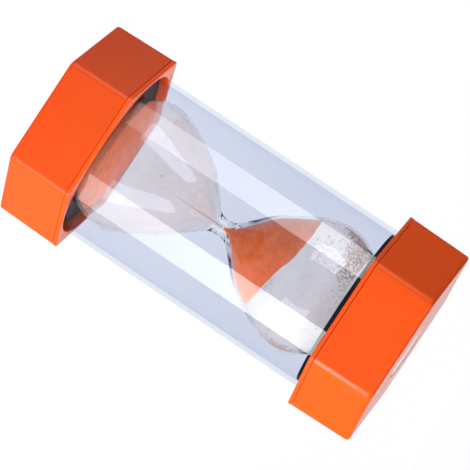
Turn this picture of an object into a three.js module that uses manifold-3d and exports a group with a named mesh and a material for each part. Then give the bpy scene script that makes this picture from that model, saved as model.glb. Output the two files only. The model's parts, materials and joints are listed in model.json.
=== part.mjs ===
// A sand timer: a blown glass vessel with two bulbs stands inside a clear plastic tube, and a
// six-sided plastic cap closes each end. Millimetres, +Z up, origin at the centre of the bottom face.
import * as THREE from "three";
import { mergeVertices } from "three/addons/utils/BufferGeometryUtils.js";
import Module from "manifold-3d";

const wasm = await Module();
wasm.setup();

// Driving dimensions.
const HEIGHT = 118;
const CAP_HEIGHT = 19.8; // one cap, collar included
const MOUTH_FLATS = 54; // across flats of a cap at its open end
const END_FLATS = 53.3; // across flats at its closed end: the mould's draft
const CORNER_RADIUS = 2.6;
const EDGE_RADIUS = 1.0; // round edge of the closed end
const COLLAR_THICKNESS = 1.2;
const COLLAR_LIP = 0.1; // how far the collar stands proud of the shell, each side
const SEAM = 0.2; // gap between shell and collar
const FLOOR = 1.6; // end wall of a cap
const TUBE_RADIUS = 25.65;
const TUBE_WALL = 1.4;
const NECK_Z = 56.2;
const LOWER_SEAT_Z = 17.7; // inner face of the bottom end plug
const UPPER_SEAT_Z = 96.8; // inner face of the top end plug
const PLUG_REACH = 11; // from an end plug's inner face to the tube's end
const FILL_HOLE = 2.6; // radius of the vessel's filling hole
const LABEL_RADIUS = 8.9;
const SAND_GAP = 0.1; // sand to glass
const FIT_GAP = 0.05; // between pieces that touch
const ROUND = 32; // sides of a turned piece

// Wall outlines of the glass vessel from its neck to a bulb's end: [radius, distance from the neck].
const OUTER_WALL = [
  [2.6, 0], [3.2, 2.6], [6.6, 6.1], [11.0, 10.6], [15.5, 17.4], [18.9, 24], [20.2, 30],
  [19.1, 35.2], [16.7, 39.1], [13.0, 41.9], [8.4, 43.2], [4.6, 43.4],
];
const INNER_WALL = [
  [0.45, 0], [0.65, 1.3], [1.25, 2.6], [2.6, 4], [4.15, 5.3], [6.15, 7], [10.5, 11.1], [14.9, 17.7],
  [18.3, 24.2], [19.5, 30], [18.5, 34.9], [16.2, 38.6], [12.7, 41.3], [8.3, 42.5], [4.5, 42.7],
];
const WALL_STEPS = 17; // steps along each half of an outline

// How far the blown vessel's middle is off the timer's axis, along X: [height, distance].
const DRIFT = [[12.8, 0], [26, -0.5], [46, -1.1], [NECK_Z, 0.45], [86, 0.65], [99.6, 0]];

const deg = THREE.MathUtils.degToRad;

const finish = (color, roughness, extra = {}) =>
  new THREE.MeshStandardMaterial({ color, roughness, metalness: 0, ...extra });
const orangePlastic = finish(0xf75c22, 0.35);
const clearPlastic = finish(0xe4e9f6, 0.05, { transparent: true, opacity: 0.3 });
const glass = finish(0xe6e6ee, 0.03, { transparent: true, opacity: 0.3 });
const blackPlastic = finish(0x16161a, 0.4);
const blackFoam = finish(0x1c1c1e, 0.95);
const whiteRubber = finish(0xe8e4dc, 0.7);
const orangeSand = finish(0xd4602e, 0.95);
const whiteLabel = finish(0xf2f0f4, 0.5);

// ---- solids -------------------------------------------------------------------------------------

function toSolid(geometry) {
  const bare = geometry.clone();
  bare.deleteAttribute("normal");
  bare.deleteAttribute("uv");
  const merged = mergeVertices(bare, 1e-4);
  return new wasm.Manifold(
    new wasm.Mesh({
      numProp: 3,
      vertProperties: merged.attributes.position.array,
      triVerts: new Uint32Array(merged.index.array),
    }),
  );
}

function toGeometry(solid) {
  const mesh = solid.getMesh();
  const geometry = new THREE.BufferGeometry();
  geometry.setAttribute("position", new THREE.BufferAttribute(mesh.vertProperties, 3));
  geometry.setIndex(new THREE.BufferAttribute(mesh.triVerts, 1));
  geometry.computeVertexNormals();
  return geometry;
}

// A turned solid about Z. The profile is [radius, z] pairs, anticlockwise with radius to the right.
function turned(profile, sides = ROUND) {
  const points = profile.map(([radius, z]) => new THREE.Vector2(radius, z));
  return new THREE.LatheGeometry(points, sides).rotateX(Math.PI / 2);
}

const closed = (profile) => [...profile, profile[0]];

// A solid ring, or a disc where the inner radius is 0.
function ring(inner, outer, low, high, sides = ROUND) {
  const profile = [[inner, low], [outer, low], [outer, high], [inner, high]];
  return turned(inner > 0 ? closed(profile) : profile, sides);
}

// ---- caps ---------------------------------------------------------------------------------------

// A hexagon with corners on the X axis and round corners.
function hexagon(acrossFlats, cornerRadius) {
  const shape = new THREE.Shape();
  const reach = acrossFlats / Math.sqrt(3) - cornerRadius / Math.cos(deg(30));
  for (let k = 0; k < 6; k++) {
    const middle = deg(60 * k);
    shape.absarc(
      reach * Math.cos(middle), reach * Math.sin(middle), cornerRadius,
      middle - deg(30), middle + deg(30),
    );
  }
  return shape;
}

// A hexagonal prism whose width changes with height: levels are [z, across flats] pairs.
function hexagonalPrism(levels, cornerRadius) {
  const steps = levels.length - 1;
  const widest = Math.max(...levels.map(([, flats]) => flats));
  const geometry = new THREE.ExtrudeGeometry(hexagon(widest, cornerRadius), {
    depth: steps, steps, bevelEnabled: false, curveSegments: 2,
  });
  const position = geometry.attributes.position;
  for (let i = 0; i < position.count; i++) {
    const [z, flats] = levels[Math.round(position.getZ(i))];
    const share = flats / widest;
    position.setXYZ(i, position.getX(i) * share, position.getY(i) * share, z);
  }
  return geometry;
}

const SHELL_TOP = CAP_HEIGHT - COLLAR_THICKNESS - SEAM;
const CAVITY_FLATS = 2 * TUBE_RADIUS + 0.3;
const POST_RADIUS = 1.8;
const POST_REACH = 27.8; // corner posts from the axis
const PEG_RADIUS = 0.7;
const PEG_LENGTH = 5;
const RIB_THICKNESS = 1.2;
const RIB_INNER = 21;
const RIB_TOP = LOWER_SEAT_Z - PLUG_REACH - 2 * FIT_GAP;
const LABEL_RECESS = 0.4;

const corners = Array.from({ length: 6 }, (_, k) => deg(60 * k));

// The moulded cup: closed end at z = 0, with corner posts, ribs under the tube and a label recess.
function capShell() {
  const flatsAt = (z) => END_FLATS + ((MOUTH_FLATS - END_FLATS) * z) / SHELL_TOP;
  const levels = [0, 30, 60, 90].map((a) => {
    const z = EDGE_RADIUS * (1 - Math.cos(deg(a)));
    return [z, flatsAt(z) - 2 * EDGE_RADIUS * (1 - Math.sin(deg(a)))];
  });
  levels.push([SHELL_TOP, MOUTH_FLATS]);
  let shell = toSolid(hexagonalPrism(levels, CORNER_RADIUS));
  const cavity = hexagonalPrism([[FLOOR, CAVITY_FLATS], [CAP_HEIGHT, CAVITY_FLATS]], CORNER_RADIUS - 1);
  shell = shell.subtract(toSolid(cavity));
  for (const angle of corners) {
    const post = ring(0, POST_RADIUS, FLOOR - 0.5, SHELL_TOP - 0.4, 12)
      .translate(POST_REACH * Math.cos(angle), POST_REACH * Math.sin(angle), 0);
    const ribLength = POST_REACH - RIB_INNER;
    const rib = new THREE.BoxGeometry(ribLength, RIB_THICKNESS, RIB_TOP - FLOOR + 0.5)
      .translate(RIB_INNER + ribLength / 2, 0, (RIB_TOP + FLOOR - 0.5) / 2)
      .rotateZ(angle);
    shell = shell.add(toSolid(post)).add(toSolid(rib));
  }
  for (const angle of corners) {
    const socket = ring(0, PEG_RADIUS + 0.1, SHELL_TOP - PEG_LENGTH - 1, CAP_HEIGHT, 10)
      .translate(POST_REACH * Math.cos(angle), POST_REACH * Math.sin(angle), 0);
    shell = shell.subtract(toSolid(socket));
  }
  const recess = ring(0, LABEL_RADIUS + 0.2, -1, LABEL_RECESS);
  return toGeometry(shell.subtract(toSolid(recess)));
}

// The flat ring that closes the cap's mouth round the tube, with pegs that go into the corner posts.
function collar() {
  const flats = MOUTH_FLATS + 2 * COLLAR_LIP;
  const low = CAP_HEIGHT - COLLAR_THICKNESS;
  const edge = 0.25;
  const plate = hexagonalPrism(
    [[low, flats], [CAP_HEIGHT - edge, flats], [CAP_HEIGHT, flats - 2 * edge]], CORNER_RADIUS,
  );
  let solid = toSolid(plate).subtract(toSolid(ring(0, TUBE_RADIUS + 0.2, 0, HEIGHT, 2 * ROUND)));
  for (const angle of corners) {
    const peg = ring(0, PEG_RADIUS, SHELL_TOP - PEG_LENGTH, low + 0.3, 10)
      .translate(POST_REACH * Math.cos(angle), POST_REACH * Math.sin(angle), 0);
    solid = solid.add(toSolid(peg));
  }
  return toGeometry(solid);
}

const label = () => ring(0, LABEL_RADIUS, 0.08, LABEL_RECESS - FIT_GAP);

// ---- end plugs and foam -------------------------------------------------------------------------

const PLUG_RADIUS = TUBE_RADIUS - TUBE_WALL - 0.2;
const PLUG_WALL = 1.5;
const DISH_RADIUS = 17.7; // the round well that a bulb's end stands in
const DISH_DEPTH = 7;
const PLUG_HOLE = 4.5;

// The moulded plug inside the tube's end. Its inner face is at z = 0, facing +Z, and it hangs below.
function endPlug() {
  return turned(closed([
    [PLUG_HOLE, -DISH_DEPTH - PLUG_WALL], [DISH_RADIUS + PLUG_WALL, -DISH_DEPTH - PLUG_WALL],
    [DISH_RADIUS + PLUG_WALL, -PLUG_WALL], [PLUG_RADIUS - PLUG_WALL, -PLUG_WALL],
    [PLUG_RADIUS - PLUG_WALL, -PLUG_REACH], [PLUG_RADIUS, -PLUG_REACH],
    [PLUG_RADIUS, -0.3], [PLUG_RADIUS - 0.3, 0],
    [DISH_RADIUS, 0], [DISH_RADIUS, -DISH_DEPTH], [PLUG_HOLE, -DISH_DEPTH],
  ]));
}

const BULB_REACH = OUTER_WALL.at(-1)[1];
const FOAM_RADIUS = 11.5;
const FOAM_HOLE = 4.2;

// ---- glass and sand -----------------------------------------------------------------------------

// [radius, z] points of a wall from the bottom bulb's end, past the neck, to the top bulb's end.
function wallOutline(half) {
  const points = [
    ...half.slice(1).reverse().map(([r, d]) => [r, NECK_Z - d]),
    ...half.map(([r, d]) => [r, NECK_Z + d]),
  ].map(([r, z]) => new THREE.Vector3(r, z, 0));
  const curve = new THREE.CatmullRomCurve3(points, false, "centripetal");
  return curve.getPoints(2 * WALL_STEPS).map((p) => [p.x, p.y]);
}

const innerWall = wallOutline(INNER_WALL);

// The vessel's distance from the timer's axis at a height, eased from one place to the next.
function drift(z) {
  if (z <= DRIFT[0][0] || z >= DRIFT.at(-1)[0]) {
    return 0;
  }
  const k = DRIFT.findIndex(([height]) => height > z);
  const [low, from] = DRIFT[k - 1];
  const [high, to] = DRIFT[k];
  return THREE.MathUtils.lerp(from, to, THREE.MathUtils.smoothstep(z, low, high));
}

function drifted(geometry) {
  const position = geometry.attributes.position;
  for (let i = 0; i < position.count; i++) {
    position.setX(i, position.getX(i) + drift(position.getZ(i)));
  }
  geometry.computeVertexNormals();
  return geometry;
}

function glassVessel() {
  const outer = wallOutline(OUTER_WALL);
  const outerEnd = outer.at(-1)[1];
  const innerEnd = innerWall.at(-1)[1];
  return drifted(turned([
    [0, outer[0][1]], ...outer, [FILL_HOLE, outerEnd],
    [FILL_HOLE, innerEnd], ...innerWall.toReversed(), [0, innerWall[0][1]],
  ]));
}

function fillStopper() {
  const top = NECK_Z + BULB_REACH;
  const stem = FILL_HOLE - 0.1;
  return turned([
    [0, top - 3.5], [stem - 0.4, top - 3.5], [stem, top - 2.5],
    [stem, top + FIT_GAP], [3.6, top + FIT_GAP], [3.6, top + 1.3], [0, top + 1.3],
  ], 20);
}

// The part of the vessel's inside between two heights, less the gap to the glass.
function filling(low, high) {
  const wall = innerWall
    .filter(([, z]) => z > low && z < high)
    .map(([r, z]) => [r - SAND_GAP, z + SAND_GAP]);
  return [[0, wall[0][1]], ...wall, [0, wall.at(-1)[1]]];
}

const UPPER_SAND = { low: NECK_Z + 0.4, level: 75.2, fallX: 9.3, fallY: 8 }; // falls in degrees
const CRATER = { radius: 6.5, depth: 4 };

// Sand over the neck. Its surface slopes, with a small funnel where the sand runs out.
function upperSand() {
  const whole = toSolid(turned(filling(UPPER_SAND.low, UPPER_SAND.level + 8)));
  const above = new THREE.BoxGeometry(80, 80, 40).translate(0, 0, 20);
  const crater = new THREE.ConeGeometry(CRATER.radius * 1.5, CRATER.depth * 1.5, 18)
    .rotateX(-Math.PI / 2)
    .translate(0, 0, CRATER.depth * -0.25);
  const cut = toSolid(above).add(toSolid(crater)).transform(
    new THREE.Matrix4()
      .makeRotationFromEuler(new THREE.Euler(-deg(UPPER_SAND.fallY), deg(UPPER_SAND.fallX), 0))
      .setPosition(0, 0, UPPER_SAND.level).elements,
  );
  return drifted(toGeometry(whole.subtract(cut)));
}

const LOWER_SAND = { rim: 20.7, peak: 21.5 };

// Sand that has run through: a shallow mound on the floor of the lower bulb.
function lowerSand() {
  const wall = filling(0, LOWER_SAND.rim).slice(0, -1);
  const rimRadius = wall.at(-1)[0] + 0.2;
  const rise = LOWER_SAND.peak - LOWER_SAND.rim;
  const mound = [0.6, 0.3, 0].map((share) => [
    rimRadius * share, LOWER_SAND.rim + (rise * (1 + Math.cos(Math.PI * share))) / 2,
  ]);
  return drifted(turned([...wall, ...mound]));
}

const STREAM_RADIUS = 0.3;

// Sand that falls straight down from the neck.
function sandStream() {
  const stream = ring(0, STREAM_RADIUS, LOWER_SAND.peak + 0.3, NECK_Z - 0.2, 8);
  return stream.translate(drift(NECK_Z), 0, 0);
}

// ---- assembly -----------------------------------------------------------------------------------

const timer = new THREE.Group();

function piece(name, geometry, material, parent = timer) {
  const mesh = new THREE.Mesh(geometry, material);
  mesh.name = name;
  parent.add(mesh);
  return mesh;
}

// One end of the timer, built with its closed face at z = 0. The plug and its foam are placed apart,
// because the vessel stands low in the tube.
function timerEnd(prefix, seatZ, foamThickness) {
  const end = new THREE.Group();
  piece(`${prefix}_cap_shell`, capShell(), orangePlastic, end);
  piece(`${prefix}_collar`, collar(), orangePlastic, end);
  piece(`${prefix}_label`, label(), whiteLabel, end);
  piece(`${prefix}_end_plug`, endPlug(), blackPlastic, end).position.z = seatZ;
  const foam = ring(FOAM_HOLE, FOAM_RADIUS, FIT_GAP, foamThickness - FIT_GAP);
  piece(`${prefix}_foam_pad`, foam, blackFoam, end).position.z = seatZ - DISH_DEPTH;
  timer.add(end);
  return end;
}

const lowerFloor = LOWER_SEAT_Z - DISH_DEPTH;
const upperFloor = UPPER_SEAT_Z + DISH_DEPTH;
timerEnd("bottom", LOWER_SEAT_Z, NECK_Z - BULB_REACH - lowerFloor);
const top = timerEnd("top", HEIGHT - UPPER_SEAT_Z, upperFloor - NECK_Z - BULB_REACH);
top.rotation.x = Math.PI;
top.position.z = HEIGHT;

const tubeLow = LOWER_SEAT_Z - PLUG_REACH;
const tubeHigh = UPPER_SEAT_Z + PLUG_REACH;
const tube = ring(TUBE_RADIUS - TUBE_WALL, TUBE_RADIUS, tubeLow, tubeHigh, 2 * ROUND);
piece("clear_tube", tube, clearPlastic);
piece("glass_vessel", glassVessel(), glass);
piece("fill_stopper", fillStopper(), whiteRubber);
piece("upper_sand", upperSand(), orangeSand);
piece("lower_sand", lowerSand(), orangeSand);
piece("sand_stream", sandStream(), orangeSand);

export default timer;
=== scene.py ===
"""Looks of a sand timer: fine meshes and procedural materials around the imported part, in metres."""

import json
import math

import bpy
import numpy as np
from mathutils import Matrix, Vector

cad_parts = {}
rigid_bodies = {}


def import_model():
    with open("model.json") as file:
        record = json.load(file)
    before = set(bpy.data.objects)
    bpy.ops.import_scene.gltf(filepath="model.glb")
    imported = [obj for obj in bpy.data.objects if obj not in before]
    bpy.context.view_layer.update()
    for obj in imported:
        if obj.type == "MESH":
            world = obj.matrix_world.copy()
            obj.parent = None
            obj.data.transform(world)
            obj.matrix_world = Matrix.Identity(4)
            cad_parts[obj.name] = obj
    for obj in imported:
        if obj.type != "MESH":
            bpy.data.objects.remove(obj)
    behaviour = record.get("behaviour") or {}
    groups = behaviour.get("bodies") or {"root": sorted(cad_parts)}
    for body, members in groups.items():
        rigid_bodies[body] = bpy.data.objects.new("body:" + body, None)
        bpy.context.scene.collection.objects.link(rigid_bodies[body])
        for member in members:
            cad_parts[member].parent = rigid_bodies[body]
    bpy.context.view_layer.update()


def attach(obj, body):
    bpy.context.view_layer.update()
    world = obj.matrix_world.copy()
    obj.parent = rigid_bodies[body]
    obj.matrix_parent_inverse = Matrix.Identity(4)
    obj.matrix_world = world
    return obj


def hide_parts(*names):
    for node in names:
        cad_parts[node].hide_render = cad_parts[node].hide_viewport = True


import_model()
rng = np.random.default_rng(7)

MM = 0.001

# ---- camera: level view of the upright timer from a little above, rolled over on its side -------

CAMERA_DISTANCE = 0.744
CAMERA_HEIGHT = 0.1477
TWIST = math.radians(2.4)  # the camera's place round the timer, from the -Y side
PITCH = math.radians(6.71)
YAW = math.radians(0.022)
ROLL = math.radians(123.7)
LENS = 206.2  # millimetres, on a sensor 36 wide


def turn(axis, angle):
    return Matrix.Rotation(angle, 3, axis)


view = turn("Y", ROLL) @ turn("X", PITCH) @ turn("Z", YAW) @ turn("Z", TWIST)
right, forward, up = view.row
camera_data = bpy.data.cameras.new("camera")
camera_data.sensor_width = 36
camera_data.lens = LENS
camera_data.clip_end = 50
camera = bpy.data.objects.new("camera", camera_data)
camera.matrix_world = Matrix.LocRotScale(
    Vector((-CAMERA_DISTANCE * math.sin(TWIST), -CAMERA_DISTANCE * math.cos(TWIST), CAMERA_HEIGHT)),
    Matrix((right, up, -forward)).transposed(),
    None,
)
bpy.context.scene.collection.objects.link(camera)
bpy.context.scene.camera = camera
bpy.context.scene.view_settings.view_transform = "Standard"

# ---- dimensions in millimetres, the part's own but for a finer seam -----------------------------

HEIGHT = 118.0
CAP_HEIGHT = 19.8
MOUTH_FLATS = 54.0
END_FLATS = 53.3
CORNER_RADIUS = 2.6
EDGE_RADIUS = 1.0
COLLAR_THICKNESS = 1.2
COLLAR_LIP = 0.1
SEAM = 0.12
FLOOR = 1.6
TUBE_RADIUS = 25.65
TUBE_WALL = 1.4
NECK_Z = 56.2
LOWER_SEAT_Z = 17.7
UPPER_SEAT_Z = 96.8
PLUG_REACH = 11.0
DISH_DEPTH = 7.0
LABEL_RADIUS = 8.9
LABEL_RECESS = 0.4
FILL_HOLE = 2.6
FIT_GAP = 0.05
SHELL_TOP = CAP_HEIGHT - COLLAR_THICKNESS - SEAM

# Wall outlines of the vessel from its neck to a bulb's end: (radius, distance from the neck).
OUTER_WALL = [
    (2.6, 0), (3.2, 2.6), (6.6, 6.1), (11.0, 10.6), (15.5, 17.4), (18.9, 24), (20.2, 30),
    (19.1, 35.2), (16.7, 39.1), (13.0, 41.9), (8.4, 43.2), (4.6, 43.4),
]
INNER_WALL = [
    (0.45, 0), (0.65, 1.3), (1.25, 2.6), (2.6, 4), (4.15, 5.3), (6.15, 7), (10.5, 11.1), (14.9, 17.7),
    (18.3, 24.2), (19.5, 30), (18.5, 34.9), (16.2, 38.6), (12.7, 41.3), (8.3, 42.5), (4.5, 42.7),
]
# How far the blown vessel's middle is off the timer's axis, along X: (height, distance).
DRIFT = [(12.8, 0), (26, -0.5), (46, -1.1), (NECK_Z, 0.45), (86, 0.65), (99.6, 0)]

# ---- mesh making --------------------------------------------------------------------------------


def add_object(name, vertices, faces, sharp=40):
    """A smooth-shaded object from vertices in millimetres, with edges sharper than that angle kept."""
    mesh = bpy.data.meshes.new(name)
    mesh.from_pydata([(x * MM, y * MM, z * MM) for x, y, z in vertices], [], faces)
    mesh.shade_smooth()
    mesh.set_sharp_from_angle(angle=math.radians(sharp))
    mesh.update()
    obj = bpy.data.objects.new(name, mesh)
    bpy.context.scene.collection.objects.link(obj)
    return obj


def bridge(loops, closed=False):
    """Vertices and faces of a skin over loops with equal counts. A loop of one point is a pole."""
    vertices = []
    starts = []
    for loop in loops:
        starts.append(len(vertices))
        vertices.extend(loop)
    faces = []
    pairs = list(zip(range(len(loops)), range(1, len(loops))))
    if closed:
        pairs.append((len(loops) - 1, 0))
    for a, b in pairs:
        count = max(len(loops[a]), len(loops[b]))
        for i in range(count):
            j = (i + 1) % count
            if len(loops[a]) == 1:
                faces.append((starts[a], starts[b] + j, starts[b] + i))
            elif len(loops[b]) == 1:
                faces.append((starts[a] + i, starts[a] + j, starts[b]))
            else:
                faces.append((starts[a] + i, starts[a] + j, starts[b] + j, starts[b] + i))
    return vertices, faces


def circle(radius, z, sides):
    if radius <= 0:
        return [(0.0, 0.0, z)]
    angles = 2 * np.pi * np.arange(sides) / sides
    return [(radius * math.cos(a), radius * math.sin(a), z) for a in angles]


def turned(profile, sides=192, closed=False):
    """A solid turned about Z from (radius, z) points, anticlockwise with radius to the right."""
    return bridge([circle(r, z, sides) for r, z in profile], closed)


def rounded(profile, radius, steps=4, closed=True):
    """The profile with its corners rounded, apart from points on the axis."""
    points = [np.array(p, float) for p in profile]
    out = []
    for i, p in enumerate(points):
        first, last = i == 0, i == len(points) - 1
        if (not closed and (first or last)) or p[0] <= 0:
            out.append(tuple(p))
            continue
        a = points[i - 1] - p
        b = points[(i + 1) % len(points)] - p
        reach = min(radius, 0.45 * np.linalg.norm(a), 0.45 * np.linalg.norm(b))
        a = p + a / np.linalg.norm(a) * reach
        b = p + b / np.linalg.norm(b) * reach
        for t in np.linspace(0, 1, steps + 1):
            out.append(tuple((1 - t) ** 2 * a + 2 * t * (1 - t) * p + t * t * b))
    return out


def smooth_curve(points, steps):
    """A centripetal Catmull-Rom curve through the points."""
    points = [np.array(p, float) for p in points]
    points = [2 * points[0] - points[1], *points, 2 * points[-1] - points[-2]]
    out = []
    for p0, p1, p2, p3 in zip(points, points[1:], points[2:], points[3:]):
        t1 = np.linalg.norm(p1 - p0) ** 0.5
        t2 = t1 + np.linalg.norm(p2 - p1) ** 0.5
        t3 = t2 + np.linalg.norm(p3 - p2) ** 0.5
        for t in t1 + (t2 - t1) * np.arange(steps) / steps:
            a1 = ((t1 - t) * p0 + t * p1) / t1
            a2 = ((t2 - t) * p1 + (t - t1) * p2) / (t2 - t1)
            a3 = ((t3 - t) * p2 + (t - t2) * p3) / (t3 - t2)
            b1 = ((t2 - t) * a1 + t * a2) / t2
            b2 = ((t3 - t) * a2 + (t - t1) * a3) / (t3 - t1)
            out.append(tuple(((t2 - t) * b1 + (t - t1) * b2) / (t2 - t1)))
    out.append(tuple(points[-2]))
    return out


def join(*solids):
    vertices, faces = [], []
    for solid_vertices, solid_faces in solids:
        start = len(vertices)
        vertices.extend(solid_vertices)
        faces.extend(tuple(start + v for v in face) for face in solid_faces)
    return vertices, faces


def moved(solid, x=0.0, y=0.0, z=0.0):
    vertices, faces = solid
    return [(a + x, b + y, c + z) for a, b, c in vertices], faces


def upside_down(solid):
    """Half a turn about X that takes the bottom end's place to the top end's."""
    vertices, faces = solid
    return [(x, -y, HEIGHT - z) for x, y, z in vertices], faces


# ---- caps ---------------------------------------------------------------------------------------

ARC_STEPS = 8
SIDE_STEPS = 14
CORNERS = [math.radians(60 * k) for k in range(6)]
POST_RADIUS = 1.8
POST_REACH = 27.6
SEAM_ROUNDING = 0.15
HOLE_RADIUS = TUBE_RADIUS + 0.2  # of the collar


def hexagon(across_flats, inset, z, corner=CORNER_RADIUS):
    """A hexagon's outline with round corners, moved in by inset."""
    flats = across_flats - 2 * inset
    radius = max(corner - inset, 0.3)
    reach = flats / math.sqrt(3) - radius / math.cos(math.radians(30))
    out = []
    for middle in CORNERS:
        arc = [
            np.array((
                reach * math.cos(middle) + radius * math.cos(middle + a),
                reach * math.sin(middle) + radius * math.sin(middle + a),
            ))
            for a in np.radians(np.linspace(-30, 30, ARC_STEPS + 1))
        ]
        out.extend(arc)
        following = middle + math.radians(60)
        start = arc[-1]
        end = np.array((
            reach * math.cos(following) + radius * math.cos(following - math.radians(30)),
            reach * math.sin(following) + radius * math.sin(following - math.radians(30)),
        ))
        shares = np.concatenate(([0.03], np.linspace(0, 1, SIDE_STEPS + 2)[1:-1], [0.97]))
        out.extend(start + (end - start) * t for t in shares)
    return [(p[0], p[1], z) for p in out]


def round_loop(radius, z):
    """A circle with a point on each line from the axis to a point of the hexagon's outline."""
    outline = hexagon(MOUTH_FLATS, 0, z)
    return [(radius * x / math.hypot(x, y), radius * y / math.hypot(x, y), z) for x, y, _ in outline]


def cap_shell():
    def flats(z):
        return END_FLATS + (MOUTH_FLATS - END_FLATS) * z / SHELL_TOP

    def cavity(inset, z):
        return hexagon(2 * TUBE_RADIUS + 0.3, inset, z, CORNER_RADIUS - 1)

    loops = [
        [(0.0, 0.0, LABEL_RECESS)],
        *(round_loop(LABEL_RADIUS + beyond, z) for beyond, z in (
            (-0.2, LABEL_RECESS), (0.15, LABEL_RECESS), (0.2, LABEL_RECESS - 0.05), (0.2, 0.08),
            (0.28, 0.0), (0.6, 0.0),
        )),
        hexagon(END_FLATS, EDGE_RADIUS + 0.6, 0.0),
    ]
    for a in np.radians(np.linspace(0, 90, 9)):
        z = EDGE_RADIUS * (1 - math.cos(a))
        loops.append(hexagon(flats(z), EDGE_RADIUS * (1 - math.sin(a)), z))
    loops += [hexagon(flats(z), 0, z) for z in (1.6, 6, 12, SHELL_TOP - 0.5)]
    for a in np.radians(np.linspace(0, 90, 4)):
        inset = SEAM_ROUNDING * (1 - math.cos(a))
        loops.append(hexagon(MOUTH_FLATS, inset, SHELL_TOP - SEAM_ROUNDING * (1 - math.sin(a))))
    loops += [cavity(-0.05, SHELL_TOP), cavity(0, SHELL_TOP - 0.1)]
    loops += [cavity(0, 6), cavity(0, FLOOR + 0.3), cavity(0.3, FLOOR), [(0.0, 0.0, FLOOR)]]
    post_top = SHELL_TOP - 0.4
    post = turned([
        (0, FLOOR), (POST_RADIUS, FLOOR), (POST_RADIUS, post_top - 0.2), (POST_RADIUS - 0.2, post_top),
        (0, post_top),
    ], 32)
    posts = [moved(post, POST_REACH * math.cos(a), POST_REACH * math.sin(a)) for a in CORNERS]
    return join(bridge(loops), *posts)


def collar():
    flats = MOUTH_FLATS + 2 * COLLAR_LIP
    low = CAP_HEIGHT - COLLAR_THICKNESS
    edge = 0.25
    loops = [round_loop(HOLE_RADIUS + 0.1, low), hexagon(flats, 0.1, low)]
    loops += [hexagon(flats, 0, low + 0.1), hexagon(flats, 0, low + 0.4)]
    for a in np.radians(np.linspace(0, 90, 5)):
        loops.append(hexagon(flats, edge * (1 - math.cos(a)), CAP_HEIGHT - edge * (1 - math.sin(a))))
    loops.append(hexagon(flats, edge + 0.12, CAP_HEIGHT))
    loops += [round_loop(HOLE_RADIUS + beyond, z) for beyond, z in (
        (0.16, CAP_HEIGHT), (0.05, CAP_HEIGHT - 0.04), (0, CAP_HEIGHT - 0.15), (0, low + 0.1),
    )]
    return bridge(loops, closed=True)


def label():
    r = LABEL_RADIUS
    return turned([(0, 0.1), (r - 0.1, 0.1), (r, 0.13), (r, 0.33), (r - 0.05, 0.35), (0, 0.35)], 128)


# ---- end plugs, foam and tube -------------------------------------------------------------------

PLUG_RADIUS = TUBE_RADIUS - TUBE_WALL - 0.2
PLUG_WALL = 1.5
PLUG_HOLE = 4.5
DISH_RADIUS = 17.7
FOAM_RADIUS = 11.5
FOAM_HOLE = 4.2


def end_plug():
    """The plug with its inner face at z = 0, facing +Z."""
    return turned(rounded([
        (PLUG_HOLE, -DISH_DEPTH - PLUG_WALL), (DISH_RADIUS + PLUG_WALL, -DISH_DEPTH - PLUG_WALL),
        (DISH_RADIUS + PLUG_WALL, -PLUG_WALL), (PLUG_RADIUS - PLUG_WALL, -PLUG_WALL),
        (PLUG_RADIUS - PLUG_WALL, -PLUG_REACH), (PLUG_RADIUS, -PLUG_REACH),
        (PLUG_RADIUS, 0), (DISH_RADIUS, 0), (DISH_RADIUS, -DISH_DEPTH), (PLUG_HOLE, -DISH_DEPTH),
    ], 0.12), closed=True)


def foam_pad(thickness):
    low, high = FIT_GAP, thickness - FIT_GAP
    profile = [(FOAM_HOLE, low), (FOAM_RADIUS, low), (FOAM_RADIUS, high), (FOAM_HOLE, high)]
    return turned(rounded(profile, 0.6, 6), closed=True)


def clear_tube():
    low, high = LOWER_SEAT_Z - PLUG_REACH, UPPER_SEAT_Z + PLUG_REACH
    inner = TUBE_RADIUS - TUBE_WALL
    profile = [(inner, low), (TUBE_RADIUS, low), (TUBE_RADIUS, high), (inner, high)]
    return turned(rounded(profile, 0.15, 3), 256, closed=True)


# ---- glass --------------------------------------------------------------------------------------

CURVE_STEPS = 7


def wall_curve(half):
    whole = [(r, NECK_Z - d) for r, d in reversed(half[1:])] + [(r, NECK_Z + d) for r, d in half]
    return smooth_curve(whole, CURVE_STEPS)


outer_wall = wall_curve(OUTER_WALL)
inner_wall = wall_curve(INNER_WALL)
inner_r = np.array([p[0] for p in inner_wall])
inner_z = np.array([p[1] for p in inner_wall])


def drift(z):
    """The vessel's distance from the timer's axis at a height, eased from one place to the next."""
    for (low, start), (high, end) in zip(DRIFT, DRIFT[1:]):
        if low <= z < high:
            t = (z - low) / (high - low)
            return start + (end - start) * t * t * (3 - 2 * t)
    return 0.0


def drifted(solid):
    vertices, faces = solid
    return [(x + drift(z), y, z) for x, y, z in vertices], faces


def bore(z):
    """The vessel's inner radius at a height."""
    return np.interp(z, inner_z, inner_r)


def glass_vessel():
    top = outer_wall[-1][1]
    inner_top = inner_wall[-1][1]
    lip = [outer_wall[-1], (FILL_HOLE, top), (FILL_HOLE, inner_top), inner_wall[-1]]
    lip = rounded(lip, 0.25, 3, closed=False)
    profile = [(0, outer_wall[0][1]), *outer_wall[:-1], *lip, *reversed(inner_wall[:-1])]
    profile.append((0, inner_wall[0][1]))
    return drifted(turned(profile, 168))


def fill_stopper():
    """A tapered stem in the filling hole, under a wider head."""
    top = outer_wall[-1][1]
    stem = FILL_HOLE - 0.1
    head = 3.6
    return turned(rounded([
        (0, top - 3.5), (stem - 0.4, top - 3.5), (stem, top - 2.5), (stem, top + FIT_GAP),
        (head, top + FIT_GAP), (head, top + 1.3), (0, top + 1.3),
    ], 0.3, 4, closed=False), 64)


# ---- sand ---------------------------------------------------------------------------------------

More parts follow.
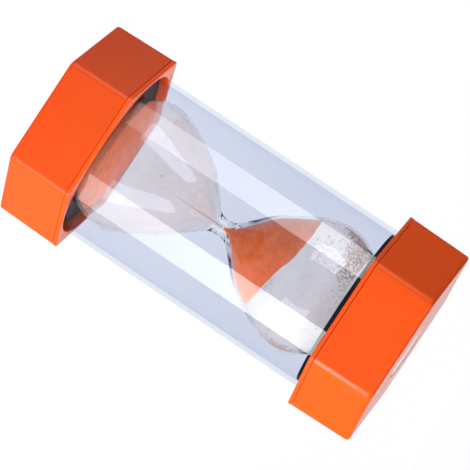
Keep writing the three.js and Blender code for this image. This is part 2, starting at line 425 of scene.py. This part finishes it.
SAND_GAP = 0.12
UPPER_LEVEL = 75.55
FUNNEL_DEPTH = 3.2
FUNNEL_RADIUS = 6.0
LOWER_LEVEL = 20.7
MOUND_HEIGHT = 0.8
MOUND_RADIUS = 19
DIMPLE_DEPTH = 0.35
DIMPLE_RADIUS = 1.4

# Low waves in the sand's surface: (height, waves along X, waves along Y, phase).
WAVES = [
    (0.09, 0.9, 0.5, 0.3), (0.07, -0.6, 1.1, 1.7), (0.05, 1.9, -1.4, 2.9),
    (0.03, 3.1, 2.3, 0.8), (0.025, -3.7, 2.9, 4.1),
]


def ripple(x, y):
    return sum(a * math.sin(kx * x + ky * y + p) for a, kx, ky, p in WAVES)


def upper_level(x, y):
    """Height of the upper sand: high on the left, with a small funnel over the neck."""
    slope = UPPER_LEVEL - 0.1 * x - 0.95 * math.tanh((x + 1.5) / 4) - 0.14 * y
    funnel = FUNNEL_DEPTH * max(0.0, 1 - math.hypot(x, y) / FUNNEL_RADIUS) ** 1.3
    return slope - funnel + ripple(x, y)


def lower_level(x, y):
    """Height of the lower sand: a shallow mound with a dimple where the stream lands."""
    r = math.hypot(x, y)
    mound = LOWER_LEVEL + MOUND_HEIGHT * (1 + math.cos(math.pi * min(r / MOUND_RADIUS, 1))) / 2
    dimple = DIMPLE_DEPTH * math.exp(-((r / DIMPLE_RADIUS) ** 2))
    return mound - dimple + ripple(x, y)


def heap(level, low, sides=160, wall_rows=40, top_rows=48):
    """Sand that fills the bore from a height up to a surface."""
    angles = 2 * np.pi * np.arange(sides) / sides
    rims = []
    for a in angles:
        r = 10.0
        for _ in range(60):  # steps towards the radius where the surface meets the glass
            target = float(bore(level(r * math.cos(a), r * math.sin(a)))) - SAND_GAP
            r = 0.6 * r + 0.4 * target
        rims.append((r, level(r * math.cos(a), r * math.sin(a))))
    loops = [[(0.0, 0.0, low)]]
    for t in np.linspace(0, 1, wall_rows + 1) ** 1.15:
        loop = []
        for a, (_, rim_z) in zip(angles, rims):
            z = low + (rim_z - low) * t
            r = max(float(bore(z - 0.05)) - SAND_GAP, 0.05)
            loop.append((r * math.cos(a), r * math.sin(a), z))
        loops.append(loop)
    for t in np.linspace(0, 1, top_rows + 1)[1:-1]:
        loop = []
        for a, (rim_r, _) in zip(angles, rims):
            r = rim_r * (1 - t)
            x, y = r * math.cos(a), r * math.sin(a)
            loop.append((x, y, level(x, y)))
        loops.append(loop)
    loops.append([(0.0, 0.0, level(0.0, 0.0))])
    return drifted(bridge(loops))


def grain(centre, size):
    """One grain: a small irregular block."""
    corners = np.array([
        (1, 0, 0), (0, 1, 0), (-1, 0, 0), (0, -1, 0), (0, 0, 1), (0, 0, -1),
    ]) * rng.uniform(0.6, 1.15, (6, 1))
    turned_corners = corners @ np.array(turn("Z", rng.uniform(0, 6.3)) @ turn("X", rng.uniform(0, 3.1)))
    vertices = [tuple(centre + size / 2 * c) for c in turned_corners]
    faces = [(0, 1, 4), (1, 2, 4), (2, 3, 4), (3, 0, 4), (1, 0, 5), (2, 1, 5), (3, 2, 5), (0, 3, 5)]
    return vertices, faces


THREAD_LENGTH = 15
THREAD_RADIUS = 0.12
STREAM_REACH = 0.28  # furthest that a grain falls from the stream's middle
STREAM_GRAINS = 300


def falling_stream():
    """The thin stream under the neck: a thread of sand that breaks up into grains."""
    low = lower_level(0, 0) + 0.1
    high = NECK_Z - 0.2
    loops = [[(0.0, 0.0, high)]]
    for z in np.linspace(high - 0.1, high - THREAD_LENGTH, 48):
        share = (high - z) / THREAD_LENGTH
        r = THREAD_RADIUS * (1 - 0.75 * share) * (1 + 0.25 * math.sin(5.1 * z))
        loops.append(circle(max(r, 0.03), z, 10))
    loops.append([(0.0, 0.0, high - THREAD_LENGTH - 0.2)])
    thread = bridge([list(reversed(loop)) if len(loop) > 1 else loop for loop in loops])
    grains = []
    for z in rng.uniform(low, high - 1, STREAM_GRAINS):
        spread = 0.05 + 0.3 * (high - z) / (high - low)
        x, y = rng.normal(0, spread * 0.5, 2)
        reach = max(math.hypot(x, y), 1e-6)
        keep = min(1.0, STREAM_REACH / reach)
        grains.append(grain(np.array((x * keep, y * keep, z)), rng.uniform(0.06, 0.16)))
    return moved(join(thread, *grains), drift(NECK_Z))


# Where grains cling to the glass: (azimuth, its spread, height, its spread, number of clumps).
CLINGING = [
    (184, 30, 89.5, 3.0, 560), (222, 28, 92.6, 2.4, 1000), (150, 26, 91.0, 2.6, 160),
    (-2, 18, 87.5, 3.0, 520), (-60, 40, 94.0, 1.6, 60), (234, 16, 85.0, 2.6, 110),
    (-70, 20, 77.0, 1.0, 40), (80, 60, 90.0, 3.0, 30), (270, 120, 84.0, 6.0, 24),
    (200, 70, 30.0, 3.0, 50), (-20, 40, 28.0, 2.0, 50), (250, 40, 36.0, 6.0, 16),
]
BARE_NECK = 10  # no grains cling nearer to the neck than this


def clinging_grains():
    grains = []
    for azimuth, azimuth_spread, height, height_spread, clumps in CLINGING:
        for _ in range(clumps):
            clump_azimuth = rng.normal(azimuth, azimuth_spread * 0.55)
            clump_z = rng.normal(height, height_spread * 0.8)
            for _ in range(int(rng.exponential(2)) + 1):
                z = min(max(clump_z + rng.normal(0, 0.16), 25.0), 95.0)
                a = math.radians(clump_azimuth + rng.normal(0, 0.55))
                size = rng.uniform(0.12, 0.32)
                r = float(bore(z)) - SAND_GAP - size * 0.35
                level = upper_level(r * math.cos(a), r * math.sin(a))
                if abs(z - NECK_Z) < BARE_NECK or NECK_Z < z < level + 0.2:
                    continue
                grains.append(grain(np.array((r * math.cos(a), r * math.sin(a), z)), size))
    return drifted(join(*grains))


# ---- materials ----------------------------------------------------------------------------------


class Shader:
    """A material's node tree, with short calls to fill it. Textures are in metres on the piece."""

    def __init__(self, name):
        self.material = bpy.data.materials.new(name)
        self.material.use_nodes = True
        self.tree = self.material.node_tree
        self.tree.nodes.clear()
        self.output = self.tree.nodes.new("ShaderNodeOutputMaterial")
        self.coordinates = self.node("TexCoord").outputs["Object"]

    def node(self, kind, inputs=None, **settings):
        made = self.tree.nodes.new("ShaderNode" + kind)
        for key, value in settings.items():
            setattr(made, key, value)
        for key, value in (inputs or {}).items():
            if isinstance(value, bpy.types.NodeSocket):
                self.tree.links.new(value, made.inputs[key])
            else:
                made.inputs[key].default_value = value
        return made

    def stretched(self, x, y, z):
        return self.node("Mapping", {"Vector": self.coordinates, "Scale": (x, y, z)}).outputs[0]

    def noise(self, scale, detail=3.0, roughness=0.5, vector=None):
        return self.node("TexNoise", {
            "Vector": vector or self.coordinates, "Scale": scale, "Detail": detail,
            "Roughness": roughness,
        }).outputs["Fac"]

    def cells(self, scale, output="Distance"):
        return self.node("TexVoronoi", {"Vector": self.coordinates, "Scale": scale}).outputs[output]

    def span(self, value, low, high, from_low=0.3, from_high=0.7):
        return self.node("MapRange", {
            "Value": value, "From Min": from_low, "From Max": from_high, "To Min": low, "To Max": high,
        }).outputs[0]

    def ramp(self, value, stops):
        made = self.node("ValToRGB", {"Fac": value})
        elements = made.color_ramp.elements
        for element, (position, color) in zip(elements, stops[:2]):
            element.position = position
            element.color = (*color, 1)
        for position, color in stops[2:]:
            elements.new(position).color = (*color, 1)
        return made.outputs["Color"]

    def mix(self, share, a, b):
        made = self.node("Mix", {"Factor": share}, data_type="RGBA")
        for socket, value in ((made.inputs[6], a), (made.inputs[7], b)):
            if isinstance(value, bpy.types.NodeSocket):
                self.tree.links.new(value, socket)
            else:
                socket.default_value = (*value, 1)
        return made.outputs[2]

    def math(self, operation, a, b):
        return self.node("Math", {0: a, 1: b}, operation=operation).outputs[0]

    def bump(self, height, strength, distance, normal=None):
        inputs = {"Height": height, "Strength": strength, "Distance": distance}
        if normal:
            inputs["Normal"] = normal
        return self.node("Bump", inputs).outputs[0]

    def surface(self, **inputs):
        names = {key.replace("_", " "): value for key, value in inputs.items()}
        return self.node("BsdfPrincipled", names)

    def finish(self, shader):
        self.tree.links.new(shader.outputs[0], self.output.inputs["Surface"])
        return self.material


def orange_plastic():
    s = Shader("orange_plastic")
    flow = s.noise(40, 1)
    tone = s.ramp(flow, [(0.3, (0.78, 0.076, 0.005)), (0.7, (0.83, 0.085, 0.006))])
    roughness = s.span(s.noise(180, 1), 0.2, 0.26)
    return s.finish(s.surface(
        Base_Color=tone, Roughness=roughness, Normal=s.bump(flow, 0.03, 0.0003), IOR=1.45,
        Specular_IOR_Level=0.3,
    ))


def see_through(s, shader, tint):
    """The shader for what is seen, and plain tinted light through it for bounces."""
    path = s.node("LightPath")
    clear = s.node("BsdfTransparent", {"Color": (*tint, 1)})
    return s.finish(s.node("MixShader", {
        0: path.outputs["Is Diffuse Ray"], 1: shader.outputs[0], 2: clear.outputs[0],
    }))


def clear_plastic():
    """The tube's wall: tinted and clear, with its gloss on the outside only."""
    s = Shader("clear_plastic")
    drawn = s.noise(60, 2, vector=s.stretched(1, 1, 0.06))
    tint = s.ramp(drawn, [(0.3, (0.894, 0.911, 0.958)), (0.7, (0.904, 0.920, 0.966))])
    edge = s.node("LayerWeight", {"Blend": 0.5}).outputs["Facing"]
    body = s.mix(s.math("POWER", edge, 4.0), tint, (0.84, 0.865, 0.935))
    across = s.node("VectorMath", {0: s.coordinates, 1: (1, 1, 0)}, operation="MULTIPLY").outputs[0]
    reach = s.node("VectorMath", {0: across}, operation="LENGTH").outputs["Value"]
    outside = s.math("GREATER_THAN", reach, (TUBE_RADIUS - TUBE_WALL / 2) * MM)
    front = s.math("SUBTRACT", 1.0, s.node("NewGeometry").outputs["Backfacing"])
    gloss = s.math("ADD", s.math("MULTIPLY", s.math("POWER", edge, 10.0), 0.3), 0.085)
    gloss = s.math("MULTIPLY", gloss, s.math("MULTIPLY", outside, front))
    clear = s.node("BsdfTransparent", {"Color": body})
    shine = s.node("BsdfGlossy", {"Color": (1, 1, 1, 1), "Roughness": 0.0})
    return s.finish(s.node("MixShader", {0: gloss, 1: clear.outputs[0], 2: shine.outputs[0]}))


def clear_glass():
    """Clear glass with a thin film of dust where the bulbs hold no sand."""
    s = Shader("glass")
    flow = s.noise(70, 2)
    tint = s.ramp(flow, [(0.3, (0.985, 0.965, 0.93)), (0.7, (1.0, 0.98, 0.95))])
    clean = s.surface(Base_Color=tint, Roughness=0.0, IOR=1.5, Transmission_Weight=1.0)
    height = s.node("SeparateXYZ", {"Vector": s.coordinates}).outputs["Z"]
    upper = s.span(height, 0.0, 1.0, 0.0765, 0.0815)
    lower = s.span(height, 1.0, 0.0, 0.046, 0.052)
    share = s.math("MULTIPLY", s.math("ADD", upper, lower), s.span(s.noise(900, 4, 0.7), 0.045, 0.09))
    film = s.node("BsdfDiffuse", {"Color": (0.86, 0.83, 0.83, 1)})
    dusty = s.node("MixShader", {0: share, 1: clean.outputs[0], 2: film.outputs[0]})
    return see_through(s, dusty, (0.985, 0.98, 0.975))


def black_plastic():
    s = Shader("black_plastic")
    tone = s.ramp(s.noise(120, 3), [(0.3, (0.004, 0.004, 0.006)), (0.7, (0.007, 0.007, 0.010))])
    return s.finish(s.surface(
        Base_Color=tone, Roughness=s.span(s.noise(400, 2), 0.4, 0.5),
        Normal=s.bump(s.noise(1800, 2), 0.08, 0.00006), Specular_IOR_Level=0.08,
    ))


def black_foam():
    s = Shader("black_foam")
    cells = s.cells(1400)
    tone = s.ramp(cells, [(0.0, (0.008, 0.008, 0.008)), (0.6, (0.035, 0.035, 0.036))])
    return s.finish(s.surface(Base_Color=tone, Roughness=0.95, Normal=s.bump(cells, 0.6, 0.0004)))


def white_rubber():
    s = Shader("white_rubber")
    tone = s.ramp(s.noise(300, 3), [(0.3, (0.70, 0.68, 0.63)), (0.7, (0.76, 0.74, 0.70))])
    grain_bump = s.bump(s.noise(1500, 2), 0.1, 0.0001)
    return s.finish(s.surface(Base_Color=tone, Roughness=0.6, Normal=grain_bump))


def sand(name, dark, middle, pale):
    s = Shader(name)
    random_tone = s.node("SeparateColor", {"Color": s.cells(4600, "Color")}).outputs[0]
    grains = s.ramp(random_tone, [(0.0, dark), (1.0, pale), (0.45, middle)])
    patches = s.span(s.noise(320, 3), 0.86, 1.06)
    color = s.node(
        "Mix", {"Factor": 1.0, 6: grains, 7: patches}, data_type="RGBA", blend_type="MULTIPLY",
    )
    fine = s.bump(s.cells(4600), 0.5, 0.00012)
    lumps = s.bump(s.noise(900, 2), 0.35, 0.0002, fine)
    return s.finish(s.surface(
        Base_Color=color.outputs[2], Roughness=0.9, Normal=lumps, Specular_IOR_Level=0.25,
    ))


def white_label():
    s = Shader("white_label")
    fibres = s.noise(900, 4, 0.6, s.stretched(1, 0.35, 1))
    tone = s.ramp(fibres, [(0.3, (0.92, 0.88, 0.90)), (0.7, (0.97, 0.93, 0.95))])
    return s.finish(s.surface(Base_Color=tone, Roughness=0.28, Normal=s.bump(fibres, 0.05, 0.00003)))


ORANGE = orange_plastic()
CLEAR = clear_plastic()
GLASS = clear_glass()
BLACK = black_plastic()
FOAM = black_foam()
RUBBER = white_rubber()
LABEL = white_label()
SAND = sand("sand", (0.70, 0.09, 0.014), (0.95, 0.15, 0.02), (1.0, 0.245, 0.055))
DUSTY_SAND = sand("dusty_sand", (0.36, 0.10, 0.045), (0.5, 0.16, 0.08), (0.62, 0.27, 0.17))

# ---- pieces -------------------------------------------------------------------------------------


def piece(name, solid, material, slot, *nodes, sharp=40):
    """A piece on the timer's one body. It stands for those CAD nodes."""
    obj = add_object(name, *solid, sharp=sharp)
    obj.data.materials.append(material)
    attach(obj, "root")
    if nodes:
        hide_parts(*nodes)
    return obj


lower_floor = LOWER_SEAT_Z - DISH_DEPTH
upper_floor = UPPER_SEAT_Z + DISH_DEPTH
bulb_low, bulb_high = outer_wall[0][1], outer_wall[-1][1]
ends = {
    "bottom": (lambda solid: solid, LOWER_SEAT_Z, bulb_low - lower_floor),
    "top": (upside_down, HEIGHT - UPPER_SEAT_Z, upper_floor - bulb_high),
}
for end, (place, seat_z, foam) in ends.items():
    piece(f"{end}_cap_shell_fine", place(cap_shell()), ORANGE, "orange_plastic", f"{end}_cap_shell")
    piece(f"{end}_collar_fine", place(collar()), ORANGE, "orange_plastic", f"{end}_collar")
    piece(f"{end}_label_fine", place(label()), LABEL, "white_label", f"{end}_label")
    plug = place(moved(end_plug(), z=seat_z))
    piece(f"{end}_end_plug_fine", plug, BLACK, "black_plastic", f"{end}_end_plug")
    pad = place(moved(foam_pad(foam), z=seat_z - DISH_DEPTH))
    piece(f"{end}_foam_pad_fine", pad, FOAM, "black_foam", f"{end}_foam_pad")

clear_pieces = (
    piece("clear_tube_fine", clear_tube(), CLEAR, "clear_plastic", "clear_tube"),
    piece("glass_vessel_fine", glass_vessel(), GLASS, "glass", "glass_vessel"),
)
for clear_piece in clear_pieces:
    clear_piece.visible_shadow = False
piece("fill_stopper_fine", fill_stopper(), RUBBER, "white_rubber", "fill_stopper")
upper_sand = heap(upper_level, NECK_Z + 0.5)
piece("upper_sand_fine", upper_sand, SAND, "sand", "upper_sand", sharp=60)
lower_sand = heap(lower_level, inner_wall[0][1] + 0.15)
piece("lower_sand_fine", lower_sand, SAND, "sand", "lower_sand", sharp=60)
piece("sand_stream_fine", falling_stream(), DUSTY_SAND, "sand", "sand_stream", sharp=20)
piece("clinging_grains", clinging_grains(), DUSTY_SAND, "sand", sharp=20)

# ---- floor and lights ---------------------------------------------------------------------------


def floor():
    s = Shader("floor")
    bounce = s.node("LightPath").outputs["Is Diffuse Ray"]
    pale = s.ramp(s.noise(3, 2), [(0.3, (0.86, 0.86, 0.87)), (0.7, (0.88, 0.88, 0.89))])
    tone = s.mix(bounce, (0.1, 0.1, 0.1), pale)
    glow = s.span(bounce, 0.95, 0.36, 0.0, 1.0)
    loops = [circle(r, 0.0, 96) for r in (9000, 3000, 1000, 300, 90)] + [[(0.0, 0.0, 0.0)]]
    obj = add_object("floor", *bridge(loops))
    obj.data.materials.append(s.finish(s.surface(
        Base_Color=tone, Roughness=0.7, Specular_IOR_Level=0.1, Emission_Color=(1, 1, 1, 1),
        Emission_Strength=glow,
    )))
    obj.visible_glossy = False


def softbox(name, azimuth, elevation, distance, width, height, radiance, seen, target_z=0.06):
    """A lamp panel that lights either gloss or colour. Azimuth is from the -Y side, towards +X."""
    lamp = bpy.data.lights.new(name, "AREA")
    lamp.shape = "RECTANGLE"
    lamp.size = width
    lamp.size_y = height
    lamp.energy = radiance * math.pi * width * height
    a, e = math.radians(azimuth), math.radians(elevation)
    target = Vector((0, 0, target_z))
    away = Vector((math.sin(a) * math.cos(e), -math.cos(a) * math.cos(e), math.sin(e)))
    obj = bpy.data.objects.new(name, lamp)
    obj.location = target + away * distance
    obj.rotation_euler = away.to_track_quat("Z", "Y").to_euler()
    obj.visible_camera = False
    obj.visible_diffuse = seen == "colour"
    obj.visible_glossy = seen == "gloss"
    obj.visible_transmission = False
    bpy.context.scene.collection.objects.link(obj)
    return obj


def only_for(lamp, names):
    """Keep a lamp's light to those pieces."""
    lit = bpy.data.collections.new(lamp.name + "_receivers")
    for name in names:
        lit.objects.link(bpy.data.objects[name])
    lamp.light_linking.receiver_collection = lit


def fade_down(lamp, foot, low=-0.01, high=0.08):
    """Dim a lamp towards its foot, to that share of its light at the lower height."""
    light = lamp.data
    light.use_nodes = True
    tree = light.node_tree
    place = tree.nodes.new("ShaderNodeNewGeometry")
    height = tree.nodes.new("ShaderNodeSeparateXYZ")
    strength = tree.nodes.new("ShaderNodeMapRange")
    tree.links.new(place.outputs["Position"], height.inputs[0])
    tree.links.new(height.outputs["Z"], strength.inputs["Value"])
    for key, value in (("From Min", low), ("From Max", high), ("To Min", foot), ("To Max", 1.0)):
        strength.inputs[key].default_value = value
    tree.links.new(strength.outputs[0], tree.nodes["Emission"].inputs["Strength"])


floor()
TUBE, VESSEL, TOP_CAP = ["clear_tube_fine"], ["glass_vessel_fine"], ["top_cap_shell_fine"]
others = [obj.name for obj in bpy.data.objects if obj.name.endswith("_fine")]
others = [name for name in others if name not in TUBE + VESSEL + TOP_CAP]

# Two tall windows in front: name, azimuth, distance, width, then the radiance that the tube, the
# vessel, the top cap and the other pieces see, and the share of it left at the tube's foot.
WINDOWS = (
    ("right_window", 51.8, 0.154, 0.104, (4.5, 5.0, 12.5, 4.5), 0.48),
    ("left_window", -56.5, 0.155, 0.0955, (2.7, 5.4, 2.7, 2.7), 0.42),
)
# What sees a window: name, pieces, the window's height, and the height of its middle.
SEEN_BY = (
    ("tube", TUBE, 0.32, 0.09), ("vessel", VESSEL, 0.25, 0.123),
    ("top_cap", TOP_CAP, 0.18, 0.025), ("others", others, 0.18, 0.025),
)
for name, azimuth, distance, width, radiances, foot in WINDOWS:
    for radiance, (seer, receivers, height, middle) in zip(radiances, SEEN_BY):
        window = softbox(
            f"{name}_{seer}", azimuth, 0, distance, width, height, radiance, "gloss", target_z=middle,
        )
        only_for(window, receivers)
        if receivers is TUBE:
            fade_down(window, foot)

# Large soft lamps: name, azimuth, elevation, radiance.
SOFT_LAMPS = (("key", 10, 26, 4.7), ("right_fill", 90, 12, 12.6), ("overhead", 0, 85, 0.4))
for name, azimuth, elevation, radiance in SOFT_LAMPS:
    softbox(name, azimuth, elevation, 1.2, 0.8, 0.8, radiance, "colour")

# Small lamps for two pieces that the others shade: name, azimuth, radiance, piece.
SMALL_LAMPS = (("sand_light", 5, 7.5, "lower_sand_fine"), ("rim_light", 0, 5.0, "bottom_collar_fine"))
for name, azimuth, radiance, receiver in SMALL_LAMPS:
    lamp = softbox(name, azimuth, 28, 0.6, 0.3, 0.3, radiance, "colour", target_z=0.02)
    only_for(lamp, [receiver])


def studio_world():
    """A dim studio with a bright table below and a bright wall behind, and white to the camera."""
    world = bpy.data.worlds.new("world")
    world.use_nodes = True
    tree = world.node_tree

    def node(kind, inputs, **settings):
        made = tree.nodes.new("ShaderNode" + kind)
        for key, value in settings.items():
            setattr(made, key, value)
        for key, value in inputs.items():
            if isinstance(value, bpy.types.NodeSocket):
                tree.links.new(value, made.inputs[key])
            else:
                made.inputs[key].default_value = value
        return made

    def span(value, from_low, from_high, low, high):
        return node("MapRange", {
            "Value": value, "From Min": from_low, "From Max": from_high, "To Min": low, "To Max": high,
        }).outputs[0]

    axes = node("SeparateXYZ", {0: node("TexCoord", {}).outputs["Generated"]})
    near = span(axes.outputs["Z"], -0.08, -0.16, 0.0, 0.25)
    far = span(axes.outputs["Z"], -0.3, -0.5, 1.0, 0.0)
    table = node("Math", {0: near, 1: far, 2: 0.1}, operation="MULTIPLY_ADD").outputs[0]
    behind = span(axes.outputs["Y"], 0.7, 0.95, 0.0, 1.0)
    below_top = span(axes.outputs["Z"], 0.25, 0.45, 1.0, 0.0)
    wall = node("Math", {0: behind, 1: below_top}, operation="MULTIPLY").outputs[0]
    lit = node("Math", {0: table, 1: wall}, operation="MAXIMUM").outputs[0]
    path = node("LightPath", {})
    through = node("Math", {
        0: path.outputs["Is Camera Ray"], 1: path.outputs["Is Transmission Ray"],
    }, operation="MAXIMUM").outputs[0]
    strength = node("Mix", {"Factor": through, "A": lit, "B": 1.0}).outputs[0]
    background = tree.nodes["Background"]
    background.inputs["Color"].default_value = (0.98, 0.985, 1.0, 1)
    tree.links.new(strength, background.inputs["Strength"])
    bpy.context.scene.world = world


studio_world()
